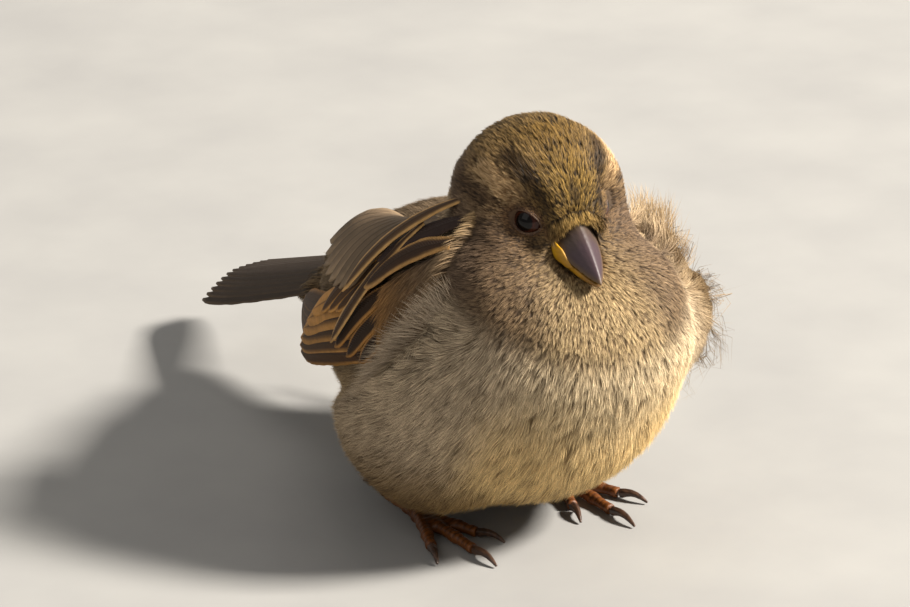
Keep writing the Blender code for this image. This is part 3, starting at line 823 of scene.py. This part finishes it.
upper_horn = horn("upper_bill_horn", rgb(70, 55, 42), rgb(60, 42, 49), rgb(96, 74, 42), (0.05, 0.45))
lower_horn = horn("lower_bill_horn", rgb(178, 132, 22), rgb(112, 80, 44), rgb(140, 100, 26), (0.40, 0.90))
dress(sheath("bill_sheath_upper", "bill_upper", 1), upper_horn, "bill", "bill_upper")
dress(sheath("bill_sheath_lower", "bill_lower", -1), lower_horn, "bill_yellow", "bill_lower")
flange_skin = horn("gape_flange_skin", rgb(190, 144, 20), rgb(160, 116, 26), rgb(190, 144, 20), (0.2, 0.9))
for side, sign, out in (("right", -1, 3.2), ("left", 1, 2.3)):  # the left one lies deeper in the feathers
    bpy.ops.mesh.primitive_uv_sphere_add(segments=32, ring_count=20, radius=MM)
    flange = bpy.context.object
    flange.name = f"gape_flange_{side}"
    pad = corners(flange) / MM
    along = (1 - pad[:, 1]) / 2
    swell = 0.35 + 0.65 * np.sin(math.pi * np.clip(along, 0, 1) ** 0.55)
    spots = np.stack([
        sign * (out - 1.0 * along**1.6) + pad[:, 0] * 0.45 * swell,
        -9.3 - 5.2 * along,
        0.75 - 1.5 * along**0.9 + pad[:, 2] * 1.15 * swell + 0.1 * np.sin(along * 14)], axis=1)
    moved(flange, from_head(spots))
    noted(flange, "along", along)
    noted(flange, "edge", along * 0)
    closed(flange)
    bpy.ops.object.shade_smooth()
    dress(flange, flange_skin, "bill_yellow")

# ---- Bristles: short hair-like feathers that spring forward over the root of the bill and its flanges.
# Each is a narrow fan of four barbs, rooted in the skin of the forehead and the lores.
BRISTLES = 900
FAN_STEPS = np.array((0.0, 1 / 3, 2 / 3, 1.0))  # the four points along a feather's line
draw = seeded(31)
turned = draw.uniform(-1.0, 1.0, BRISTLES)
back = draw.uniform(0, 1.6, BRISTLES)
side = np.sign(turned) * np.abs(turned) ** 0.8
roots = np.stack([side * (3.3 + 0.5 * back), -11.3 + 1.3 * np.abs(side) + 0.8 * back,
                  4.3 - 2.6 * side**2 + 0.7 * back], axis=1)
ups = unit(np.stack([side * 0.9, -0.35 + 0 * side, 1.05 - 0.75 * np.abs(side)], axis=1))
ways = unit(np.stack([side * 0.10, -1.0 + 0 * side, -0.62 - 0.1 * np.abs(side)], axis=1))
roots, outs = from_head(roots), ups @ HEAD_ROWS.T
ground, _ = onto_skin(roots)
ways = ways @ HEAD_ROWS.T
coat = coat_at(ground)
lengths = draw.uniform(1.1, 2.1, BRISTLES) * MM
heights = draw.uniform(0.15, 0.45, BRISTLES) * MM
line = ground[:, None] + ways[:, None] * (lengths[:, None] * FAN_STEPS)[..., None]
line += outs[:, None] * (heights[:, None] * (1 - (1 - FAN_STEPS) ** 1.7))[..., None]
outs = np.repeat(outs[:, None], 4, axis=1)
bristles = fanned("nasal_bristles", draw, coat, line, outs, 4, 3, 0.16, lengths, heights, (0, -0.9, 0.3))
dress(bristles, feather, "plumage")

# ---- Wings: quills and coverts, each a thin vane with a shaft, laid like tiles on the closed wing. The
# dark middles have buff edges. The long quills run back, and the coverts hang down over their roots.
WING_START, WING_END = np.array((-1.0, -32.12, 34.0)), np.array((-2.2, 14.88, 17.0))
WING_LONG = 50.0
WING_RADII = (14.8, 21.9, 18.6, 7.2)
WING_LIFT = {"right": 18, "left": -11}  # degrees above level at the wrist
WING_SINK = 25  # how many degrees lower the tip is
VANE_THICK = 0.07 * MM


def cubic(values, share):
    rest = 1 - share
    a, b, c, d = values
    return a * rest**3 + 3 * b * rest**2 * share + 3 * c * rest * share**2 + d * share**3


def wing_places(side, back, up, out):
    """Places on a closed wing: so far back from the wrist, up its face and out from it, in mm."""
    share = back / WING_LONG
    middle = WING_START + share[..., None] * (WING_END - WING_START)
    radius = cubic(WING_RADII, share)
    angle = np.radians(WING_LIFT[side] - WING_SINK * share) + up / radius
    reach = radius + out
    places = middle + np.stack([-np.cos(angle) * reach, 0 * reach, np.sin(angle) * reach], axis=-1)
    if side == "left":
        places = places * (-1, 1, 1)
    return (places + (MIDDLE_X, 0, 0)) * MM


def vanes(name, feathers, places, rows=18, columns=11):
    """Many flat feathers as one mesh. places gives a point for its way along, its way up and its height.

    feathers: (root, tip, half width, height at the root, height at the tip, bend, dark, light, rim)
    """
    draw = seeded(len(feathers) + rows)
    size = (rows, columns)
    a = np.linspace(0, 1, rows)[:, None]
    c = np.linspace(-1, 1, columns)[None, :]
    rounded = np.sqrt(np.clip(1 - ((a - 0.62) / 0.385) ** 2.4, 0, 1))
    outline = np.where(a < 0.62, 0.6 + 0.4 * smooth(0, 0.4, a), rounded)
    cells = math.ceil(math.sqrt(len(feathers)))
    spread = np.stack([0.44 * c + 0 * a, 0.88 * (a - 0.5) + 0 * c], axis=-1)
    made = []
    for number, (root, tip, half, low, high, bend, dark, light, rim) in enumerate(feathers):
        root, tip = np.array(root, float), np.array(tip, float)
        long = norm(tip - root)
        way = (tip - root) / long
        side = np.array((-way[1], way[0]))
        wide = half * outline * (1 + draw.normal(0, 0.025, size) * (abs(c) > 0.9))
        flat = root + a[..., None] * (tip - root) + side * (c * wide + bend * np.sin(math.pi * a))[..., None]
        flat = flat + way * (draw.normal(0, 0.006, size) * (a > 0.85))[..., None]
        height = high + (low - high) * (1 - a) ** (3 if low < -1 else 1)  # a deep root rises fast
        height = height + 0.16 * half * (1 - c**2) + 0.09 * np.exp(-((c / 0.10) ** 2)) * (1 - a)
        height = height - 0.10 * half * c
        inside = np.minimum(wide * (1 - abs(c)), (1 - a) * long)
        cell = np.array((number % cells, number // cells)) + 0.5
        made.append({
            "points": places(flat[..., 0], flat[..., 1], height),
            "barb": a * long - abs(c) * wide,
            "across": 0 * a + c,
            "rim": 1 - smooth(rim * 0.35, rim, inside),
            "tone": np.full(size, draw.normal()),
            "light": np.broadcast_to(rgb(*light), size + (3,)),
            "dark": np.broadcast_to(rgb(*dark), size + (3,)),
            "map": (cell + spread) / cells,
        })
    whole = {key: np.stack([one[key] for one in made]) for key in made[0]}
    grid = np.arange(rows * columns).reshape(size)
    quads = np.stack([grid[:-1, :-1], grid[1:, :-1], grid[1:, 1:], grid[:-1, 1:]], axis=-1).reshape(-1, 4)
    faces = np.concatenate([quads[:, [0, 1, 2]], quads[:, [0, 2, 3]]])
    starts = np.arange(len(feathers)) * rows * columns
    triangles = (starts[:, None, None] + faces[None]).reshape(-1, 3)
    obj = mesh_from(name, whole["points"].reshape(-1, 3), triangles)
    for key in ("across", "barb", "rim", "tone"):
        noted(obj, key, whole[key])
    for key in ("light", "dark"):
        tinted(obj, key, whole[key].reshape(-1, 3))
    mapped(obj, whole["map"].reshape(-1, 2))
    closed(obj)
    shape(obj, "SOLIDIFY", thickness=VANE_THICK, offset=0)
    return obj


BARB_GAP = 0.36  # between the lines that the barbs draw on a vane, in mm
quill, shader, start = finish_of("quill_feather", 0.62, 0.2)
rim = start.number("rim")
cloud = start.texture("Noise", 900.0, Detail=4.0)
lines = start.math("SINE", start.number("barb") * (2 * math.pi / BARB_GAP) + cloud * 3.0)
shaft = 1.0 - start.math("ABSOLUTE", start.number("across")).step(0.03, 0.09, "LINEAR")
edge = (rim + (cloud - 0.5) * 0.7 * rim).clamped()
colour = edge.between(start.colour("dark"), start.colour("light"))
colour = colour.scaled(0.92 + lines * 0.10 + (cloud - 0.5) * 0.35 + start.number("tone") * 0.07)
connect((shaft * 0.55).between(colour, rgb(44, 32, 22)), shader)
relief(lines * 0.5 + shaft, shader, 0.5, 0.12)

DUSK, SOOT, OCHRE, BUFF = (72, 47, 22), (68, 46, 26), (196, 142, 74), (206, 162, 102)
PLAIN, PALE = (118, 100, 80), (150, 128, 102)


def wing_vanes(side):
    """Rows of the closed wing, from the long quills below to the scapulars that lap over it on top."""
    quills = []
    for k in range(6):
        root, tip = (12 + 1.2 * k, -7.6 + 1.5 * k), (53 - 2.3 * k, 2.4 + 0.45 * k)
        quills.append((root, tip, 1.8, 0.1 + 0.06 * k, 0.3 + 0.05 * k, 0.5, SOOT, (150, 106, 54), 0.5))
    for k in range(6):
        root, tip = (12 + 0.4 * k, -7.2 + 1.9 * k), (41 - 2.3 * k, -3.0 + 1.0 * k)
        quills.append((root, tip, 1.8, 0.9, 1.3 + 0.06 * k, 0.6, DUSK, OCHRE, 0.5 + 0.45 * k))
    coverts = []
    for k in range(3):
        root, tip = (9 + 2 * k, 5.5 + k), (20.2 + 2.4 * k, 0.6 + 0.3 * k)
        coverts.append((root, tip, 1.5, 1.7, 2.0, 0.3, DUSK, OCHRE, 0.6))
    for k in range(8):
        root, tip = (9.5 + 1.75 * k, 19.0), (18.6 + 1.86 * k, 3.2 + 0.18 * k + 0.143 * k * k)
        coverts.append((root, tip, 2.8, -8.0, 1.9 + 0.06 * k, 0.5, PLAIN, PALE, 1.5))
    for k in range(3):
        root, tip = (7.6 - 2.1 * k, 1.9 - 2.4 * k), (19.4 - 2.9 * k, -4.1 - 2.0 * k + 0.25 * k * k)
        sizes = (1.6 - 0.1 * k, 2.1 + 0.1 * k, 2.5 + 0.12 * k, 0.5)
        coverts.append((root, tip, *sizes, (44, 28, 14), (176, 126, 66), 0.62))
    coverts.append(((7.6, 9.6), (19.6, -3.4), 1.25, 2.9, 3.1, -0.9, (70, 50, 34), BUFF, 0.6))
    if side == "right":
        coverts.append(((1.5, 9.2), (12.4, 5.6), 1.9, 2.7, 2.75, 0.3, (54, 40, 36), (66, 50, 42), 0.4))
        coverts.append(((3.0, 13.2), (17.6, 2.6), 1.5, 3.15, 3.2, 1.3, (84, 64, 46), BUFF, 0.75))
    coverts.append(((0.5, 5.6), (12.6, 2.2), 1.7, 3.2, 3.2, 1.2, (62, 44, 32), (186, 142, 86), 0.75))
    return quills, coverts


# place: how far back and how high, then length, barb width, feathers to the square mm, depth, two tints
WING_COAT = {
    "front_high": ((0, -2.5, 10.0), 2.6, 0.12, 7.0, 1.3, (184, 156, 116), (100, 79, 56)),
    "front": ((0, -2.5, 5.0), 2.6, 0.12, 7.0, 1.3, (176, 150, 116), (90, 71, 52)),
    "front_low": ((0, -2.0, 0.5), 3.0, 0.13, 6.0, 1.2, (150, 126, 98), (66, 52, 40)),
    "shoulder": ((0, 1.5, 3.5), 3.2, 0.13, 5.0, 0.7, (116, 94, 72), (48, 35, 27)),
    "shoulder_low": ((0, 2.0, 0.8), 3.2, 0.13, 5.0, 0.7, (124, 98, 70), (50, 36, 26)),
    "middle": ((0, 5.0, 1.5), 3.6, 0.11, 5.5, 0.7, (138, 104, 66), (46, 31, 20)),
    "rear": ((0, 8.5, 0.5), 3.4, 0.11, 5.5, 0.7, (156, 112, 62), (56, 35, 18)),
    # Painted shadow: the low edge's dark tint stands for the deep shade under the wing's lower edge, below the
    # lesser coverts.
    "shadowed_low_edge": ((0, 3.5, -3.0), 2.8, 0.13, 4.6, 0.6, (96, 74, 50), (22, 16, 11)),
    "low_rear": ((0, 8.5, -4.5), 3.0, 0.11, 4.6, 0.6, (150, 114, 70), (50, 35, 20)),
}
WISP = (5.4, 0.10, 6.0, 2.2, *rgb(192, 174, 150), *rgb(112, 95, 79))  # the flank's, over the wing's edge
FACE_OUT = 2.7  # how far out from the wing its fine feathers are rooted, in mm
LESSER_COVERTS, WISPS = 3400, 380  # how many are drawn for each wing


def wing_edge(back):
    """How high the flank's feathers come up the wing's face."""
    return -1.9 - 0.54 * back


def wing_down(side, name, roots, ways, coat, fan, seed):
    """Fine feathers on the wing's face, each at a root and along a way that are given back and up it."""
    draw = seeded(seed)
    count = len(roots)
    spread, shares = splayed(draw, count, 7, 3)
    lengths = (coat[:, 0] * draw.uniform(0.75, 1.2, count))[:, None, None]
    turn = np.arctan2(ways[:, 1], ways[:, 0]) + draw.normal(0, 0.12, count)
    turn = turn[:, None, None] + (spread * fan)[:, :, None] - 0.25 * shares
    steps = np.stack([np.cos(turn), np.sin(turn)], axis=-1) * (lengths * shares)[..., None]
    flat = roots[:, None, None] + steps
    sink = smooth(0.0, 1.6, -roots[:, 0]) + smooth(-0.5, 3.0, wing_edge(roots[:, 0]) - roots[:, 1])
    root_out = (FACE_OUT - 2.6 * np.clip(sink, 0, 1))[:, None, None]
    rise = coat[:, 3][:, None, None] * draw.uniform(0.6, 1.2, (count, 7, 1)) + (FACE_OUT - root_out)
    height = root_out + rise * (1 - (1 - shares) ** 1.7)
    middles = wing_places(side, flat[..., 0], flat[..., 1], height)
    aside = wing_places(side, flat[..., 0] - np.sin(turn) * 0.1, flat[..., 1] + np.cos(turn) * 0.1, height)
    up = unit(wing_places(side, flat[..., 0], flat[..., 1], height + 0.1) - middles)
    front = (-0.9, -0.3, 0.1) if side == "right" else (0.9, -0.3, 0.1)
    aside = unit(aside - middles)
    return blades(name, draw, coat, spread, shares, middles, aside, up, middles[:, 0, 0], front)


for number, (side, front_end) in enumerate((("right", -1.4), ("left", 1.0))):
    quills, coverts = wing_vanes(side)
    on_wing = partial(wing_places, side)
    long_quills = vanes(f"wing_quills_{side}", quills, on_wing, rows=26)
    dress(long_quills, quill, "wing_feathers", f"wing_{side}_primaries", f"wing_{side}_secondaries")
    dress(vanes(f"wing_coverts_{side}", coverts, on_wing), quill, "wing_feathers", f"wing_{side}_coverts")
    draw = seeded(60 + number)
    roots = draw.uniform((-4.0, -9.0), (7.5, 12.0), (LESSER_COVERTS, 2))
    back, high = roots.T
    top = 5.2 - 0.35 * np.maximum(back, 0) + 8 * (back < -0.8)
    roots = roots[(back > front_end) & (high > wing_edge(back) - 1.5) & (high < top)]
    back, high = roots.T
    coat = blended(np.stack([0 * back, back, high], axis=1), WING_COAT, 1.8)
    front = smooth(0.5, -2.5, back)[:, None]
    ways = front * (1.0, -0.1) + (1 - front) * np.stack([0.70 + 0.02 * back, -0.72 + 0.03 * back], axis=1)
    small = wing_down(side, f"lesser_coverts_{side}", roots, ways, coat, 0.24, 62 + number)
    dress(small, feather, "wing_feathers")
    back = draw.uniform(-3.5, 14.0, WISPS)
    roots = np.stack([back, wing_edge(back) - draw.uniform(2.6, 5.6, WISPS)], axis=1)
    ways = np.stack([0.62 + 0.03 * back, 0.80 - 0.06 * back], axis=1) + draw.normal(0, 0.16, (WISPS, 2))
    coat = np.broadcast_to(WISP, (WISPS, len(WISP)))
    dress(wing_down(side, f"wing_wisps_{side}", roots, ways, coat, 0.30, 64 + number), feather, "plumage")

# ---- Fluff: long frayed feathers that stand off the bird's left side, over the wing, thin and tinted gold by the painted sunlight of that side.
# They are the flank's own, ruffled up, and are rooted in the skin like the rest.
FLUFF_STAND, FLUFF_LONG = 4.4, 1.5  # how far it stands out and how long it is, against the coat there
sites, site_ups, _ = scatter(30000, 71)
body = in_body(sites)
chance = near(body * (body[:, :1] > 0), (18.5, -33, 41), (25.0, -30, 24), 9.0)
chosen = seeded(72).uniform(size=len(sites)) < 0.30 * chance
chosen &= site_ups[:, 1] < 0.7  # none on what faces the tail
roots, ups = sites[chosen], site_ups[chosen]
fluff = lay("left_fluff", roots, ups, 11, 3, 0.40, 73, (1, 0, 0), FLUFF_STAND, FLUFF_LONG)
dress(fluff, feather, "plumage")

# ---- Tail: twelve quills in a closed fan, the middle pair on top. They are dusky with thin paler edges,
# and small feathers of the rump lie back over their roots.
TAIL_START, TAIL_END = np.array((0, 8.88, 25.0)), np.array((0, 51.38, 8.0))
TAIL_ROLL = -15  # degrees
ROOT_FANS = 700  # small feathers over the quills' roots
tail_way = unit(TAIL_END - TAIL_START)
tail_side = np.array(turning(Vector(tail_way), TAIL_ROLL) @ Vector((1, 0, 0)))
tail_up = np.cross(tail_side, tail_way)
TAIL_LONG = float(norm(TAIL_END - TAIL_START))


def tail_places(back, across, out):
    """Places on the tail in mm: so far back from its root, across it and out from its upper face."""
    half = 6 + 2.0 * back / TAIL_LONG
    height = out - 1.2 * (across / half) ** 2
    spots = back[..., None] * tail_way + across[..., None] * tail_side + height[..., None] * tail_up
    return (TAIL_START + spots + (MIDDLE_X, 0, 0)) * MM


tail_quills = []
for pair in range(5, -1, -1):
    for sign in (-1, 1):
        share = (pair + 0.5) / 6
        root, tip = (0, sign * 4.2 * share), (TAIL_LONG - 0.9 - 0.6 * share**2, sign * 6.9 * share)
        sizes = (2.2, 0.75 - 0.1 * pair, 0.95 - 0.12 * pair, sign * 0.2)
        tail_quills.append((root, tip, *sizes, (58, 46, 36), (96, 78, 58), 0.5))
draw = seeded(81)
back = draw.uniform(-2.5, 10.5, ROOT_FANS)
across = draw.uniform(-1, 1, ROOT_FANS) * (5.4 + 0.05 * back)
lengths = draw.uniform(5.0, 8.0, ROOT_FANS)
heights = draw.uniform(0.9, 2.0, (ROOT_FANS, 1)) - 0.07 * back[:, None]
heights = 0.2 + heights * np.sin(math.pi * FAN_STEPS) + 0.35 * heights * FAN_STEPS
across = across[:, None] * (1 + 0.12 * FAN_STEPS)
line = tail_places(back[:, None] + FAN_STEPS * lengths[:, None], across, heights)
outs = np.broadcast_to(tail_up, line.shape)
coat = coat_at(line[:, 0])
lifts = np.full(ROOT_FANS, 0.5 * MM)
root_fans = fanned("tail_root_feathers", draw, coat, line, outs, 9, 3, 0.2, lengths * MM, lifts, (0, 0.3, 1))
dress(root_fans, feather, "plumage")
dress(vanes("tail_quills", tail_quills, tail_places, rows=26), quill, "tail_feathers", "tail")

# ---- Legs and feet: orange-brown skin with a row of scutes along the top of each toe and up the shank.
# The claws are dark horn, each a piece of its own at the end of its toe.
FOOT_GRAIN, CLAW_GRAIN = 0.24 * MM, 0.09 * MM
TOE_SCUTE, SHANK_SCUTE, SCUTE_DEPTH = 0.95, 1.2, 0.10  # their lengths and the grooves' depth, in mm
leg_skin, shader, start = finish_of("leg_skin", 0.5)
scales = start.texture("Voronoi", 2600.0)
warm = start.texture("Noise", 500.0, Detail=5.0).ramp((0.3, rgb(82, 43, 10)), (0.7, rgb(118, 66, 16)))
shade = (start.number("groove") * 0.75).clamped().between(warm, rgb(58, 28, 12))
connect(shade.scaled(0.8 + scales * 0.45), shader)
relief(1.0 - scales, shader, 0.4)
claw_horn, shader, start = finish_of("claw_horn", 0.35)
connect(start.grain(3000.0, 500.0).ramp((0.3, rgb(38, 26, 22)), (0.75, rgb(92, 66, 50))), shader)
for side in SIDES:
    foot = copy_of(f"leg_{side}", f"foot_{side}", f"shank_{side}")
    remeshed(foot, FOOT_GRAIN, 5)
    skin_points, outwards = corners(foot), corners(foot, "normal")
    _, back, high = skin_points.T / MM
    toe = 1 - smooth(2.2, 3.2, high)
    wave = toe * np.sin(back * 2 * math.pi / TOE_SCUTE)
    wave = wave + (1 - toe) * np.sin(high * 2 * math.pi / SHANK_SCUTE)
    facing = np.where(toe > 0.5, outwards[:, 2], -outwards[:, 1] + 0.3)  # up on a toe, forward on a shank
    cut = smooth(0.45, 0.95, wave) * smooth(0.0, 0.5, facing)
    noted(foot, "groove", cut)
    sunk = skin_points - outwards * (cut * SCUTE_DEPTH * MM)[:, None]
    sunk[:, 2] = np.where(high < 0.12, skin_points[:, 2], sunk[:, 2])
    moved(foot, sunk)
    select_only(foot)
    bpy.ops.object.shade_smooth()
    dress(foot, leg_skin, "leg", f"foot_{side}", f"shank_{side}")
    for toe_name in ("inner", "middle", "outer", "hind"):
        node = f"claw_{side}_{toe_name}"
        claw = copy_of(f"nail_{side}_{toe_name}", node)
        remeshed(claw, CLAW_GRAIN, 4)
        bpy.ops.object.shade_smooth()
        dress(claw, claw_horn, "claw", node)


# ---- The end: the view layer is brought up to date.
bpy.context.view_layer.update()
